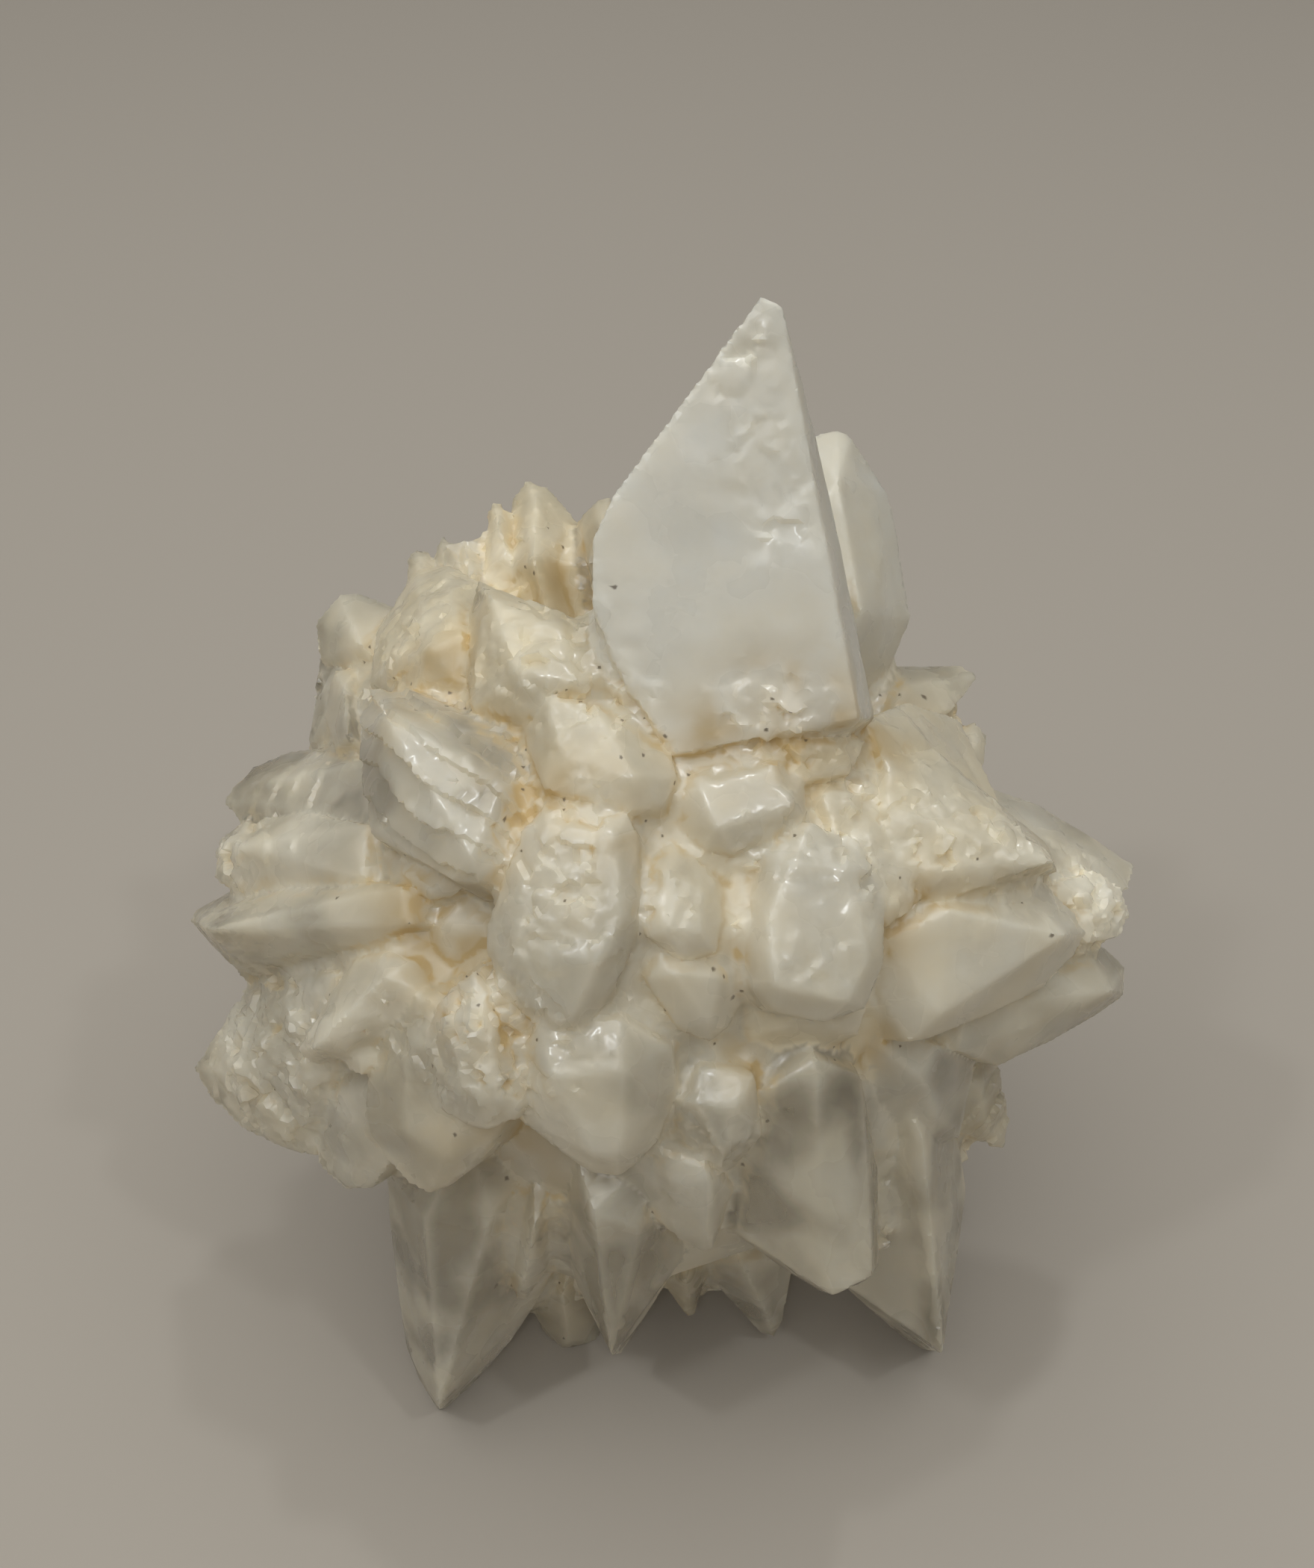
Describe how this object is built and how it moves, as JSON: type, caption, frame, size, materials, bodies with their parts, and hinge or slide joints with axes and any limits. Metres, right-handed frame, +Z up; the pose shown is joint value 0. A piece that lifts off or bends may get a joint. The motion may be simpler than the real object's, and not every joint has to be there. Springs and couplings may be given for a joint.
{
  "type": "calcite crystal cluster",
  "caption": "Rounded cluster of milky calcite crystals radiating from one core, with a tall rhombohedral crystal on top; a display specimen that rests on its worn lower tips.",
  "frame": {"origin": "on the resting surface, under the middle of the specimen's bounding box", "axes": "+Z up along the tall crystal, -Y towards the side with the broad face of the tall crystal, +X to the right as seen from there"},
  "size_m": [0.1114, 0.0978, 0.1296],
  "materials": {
    "calcite": "milky translucent crystal with rough etched faces and ochre staining in the crevices"
  },
  "bodies": {
    "root": {"calcite_cluster": "calcite"}
  },
  "joints": []
}
